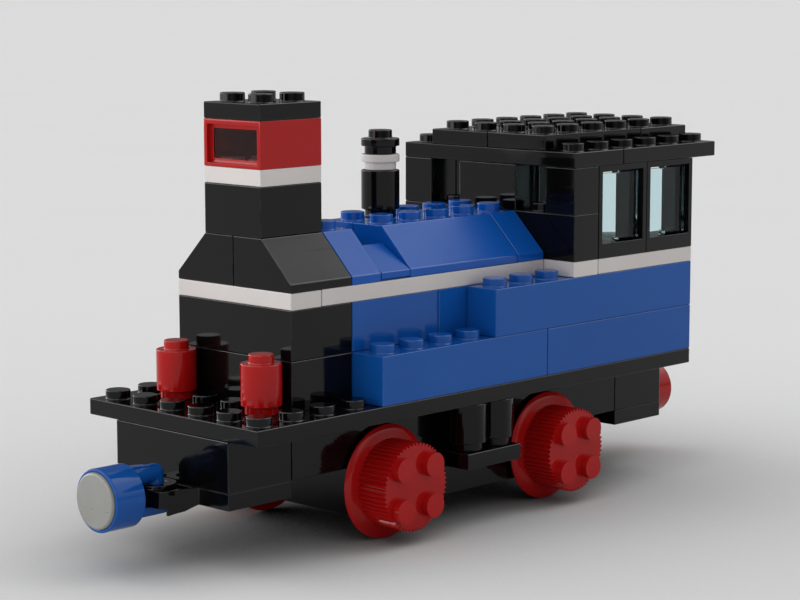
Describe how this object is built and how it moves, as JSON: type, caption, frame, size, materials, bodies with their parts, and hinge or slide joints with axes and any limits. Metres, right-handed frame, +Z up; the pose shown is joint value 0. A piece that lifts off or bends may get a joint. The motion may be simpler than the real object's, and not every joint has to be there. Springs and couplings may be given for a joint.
{
  "type": "toy train locomotive",
  "caption": "Small brick-built toy steam locomotive with a motorised four-wheel chassis, ribbed flanged wheels, chimney lamp, open-backed cab and swivelling magnet couplers.",
  "frame": {"origin": "on the ground midway between the two axles, on the centre line", "axes": "+X to the front of the locomotive, +Y to its left side, +Z up"},
  "size_m": [0.1644, 0.0528, 0.0864],
  "materials": {
    "black_plastic": "glossy black moulded plastic",
    "blue_plastic": "glossy blue moulded plastic",
    "red_plastic": "glossy red moulded plastic",
    "white_plastic": "glossy warm white moulded plastic",
    "gear_plastic": "natural self-lubricating plastic",
    "steel": "bright drawn steel",
    "brass": "machined brass",
    "magnet": "satin grey plated magnet",
    "clear_pane": "clear light blue plastic",
    "smoke_pane": "clear smoke-tinted plastic"
  },
  "bodies": {
    "locomotive": {"base_plate": "black_plastic", "end_beams": "black_plastic", "front_coupling_plate": "black_plastic", "rear_coupling_plate": "black_plastic", "motor_casing": "black_plastic", "motor_cover": "black_plastic", "step_plates": "black_plastic", "step_posts": "black_plastic", "smokebox_bricks": "black_plastic", "smokebox_slopes": "black_plastic", "chimney_brick": "black_plastic", "chimney_cap": "black_plastic", "steam_pipe_brick": "black_plastic", "steam_pipe_cap": "black_plastic", "cab_front_wall": "black_plastic", "cab_corner_bricks": "black_plastic", "cab_centre_brick": "black_plastic", "window_frames": "black_plastic", "front_roof_plate": "black_plastic", "rear_roof_plate": "black_plastic", "roof_top_plates": "black_plastic", "boiler_base_bricks": "blue_plastic", "boiler_short_bricks": "blue_plastic", "boiler_long_bricks": "blue_plastic", "boiler_cross_brick": "blue_plastic", "upper_side_bricks": "blue_plastic", "narrow_boiler_slopes": "blue_plastic", "small_boiler_slopes": "blue_plastic", "long_boiler_slopes": "blue_plastic", "front_lamps": "red_plastic", "lamp_housing": "red_plastic", "smokebox_band": "white_plastic", "boiler_band": "white_plastic", "cab_front_band": "white_plastic", "cab_floor_band": "white_plastic", "chimney_band": "white_plastic", "steam_pipe_band": "white_plastic", "cover_screws": "steel", "motor_can": "steel", "gear_pins": "steel", "window_panes": "clear_pane", "lamp_window": "smoke_pane"},
    "front_coupler": {"front_magnet_holder": "blue_plastic", "front_magnet": "magnet"},
    "rear_coupler": {"rear_magnet_holder": "red_plastic", "rear_magnet": "magnet"},
    "front_wheelset": {"front_axle": "steel", "front_axle_gear": "gear_plastic", "front_left_wheel": "red_plastic", "front_right_wheel": "red_plastic"},
    "rear_wheelset": {"rear_axle": "steel", "rear_axle_gear": "gear_plastic", "rear_left_wheel": "red_plastic", "rear_right_wheel": "red_plastic"},
    "front_idler": {"front_idler_gear": "gear_plastic"},
    "rear_idler": {"rear_idler_gear": "gear_plastic"},
    "front_reduction": {"front_reduction_gear": "gear_plastic"},
    "rear_reduction": {"rear_reduction_gear": "gear_plastic"},
    "motor_rotor": {"motor_shaft": "steel", "motor_pinion": "brass"}
  },
  "joints": [
    {"name": "front_axle_spin", "type": "hinge", "parent": "locomotive", "child": "front_wheelset", "pos_m": [0.024, 0, 0.0112], "axis": [0, 1, 0], "continuous": true},
    {"name": "rear_axle_spin", "type": "hinge", "parent": "locomotive", "child": "rear_wheelset", "pos_m": [-0.024, 0, 0.0112], "axis": [0, 1, 0], "continuous": true},
    {"name": "front_idler_spin", "type": "hinge", "parent": "locomotive", "child": "front_idler", "pos_m": [0.01732, 0, 0.01388], "axis": [0, 1, 0], "continuous": true},
    {"name": "rear_idler_spin", "type": "hinge", "parent": "locomotive", "child": "rear_idler", "pos_m": [-0.01732, 0, 0.01388], "axis": [0, 1, 0], "continuous": true},
    {"name": "front_reduction_spin", "type": "hinge", "parent": "locomotive", "child": "front_reduction", "pos_m": [0.0102, 0, 0.01496], "axis": [0, 1, 0], "continuous": true},
    {"name": "rear_reduction_spin", "type": "hinge", "parent": "locomotive", "child": "rear_reduction", "pos_m": [-0.0102, 0, 0.01496], "axis": [0, 1, 0], "continuous": true},
    {"name": "motor_spin", "type": "hinge", "parent": "locomotive", "child": "motor_rotor", "pos_m": [0, 0, 0.01496], "axis": [0, 1, 0], "continuous": true},
    {"name": "front_coupler_swing", "type": "hinge", "parent": "locomotive", "child": "front_coupler", "pos_m": [0.068, 0, 0.01421], "axis": [0, 0, 1], "range_deg": [-35, 35]},
    {"name": "rear_coupler_swing", "type": "hinge", "parent": "locomotive", "child": "rear_coupler", "pos_m": [-0.068, 0, 0.01421], "axis": [0, 0, 1], "range_deg": [-35, 35]}
  ],
  "couplings": [
    {"joint": "rear_axle_spin", "follows": "front_axle_spin", "ratio": 1},
    {"joint": "front_idler_spin", "follows": "front_axle_spin", "ratio": -1},
    {"joint": "rear_idler_spin", "follows": "front_axle_spin", "ratio": -1},
    {"joint": "front_reduction_spin", "follows": "front_axle_spin", "ratio": 1},
    {"joint": "rear_reduction_spin", "follows": "front_axle_spin", "ratio": 1},
    {"joint": "motor_spin", "follows": "front_axle_spin", "ratio": -2.4}
  ]
}
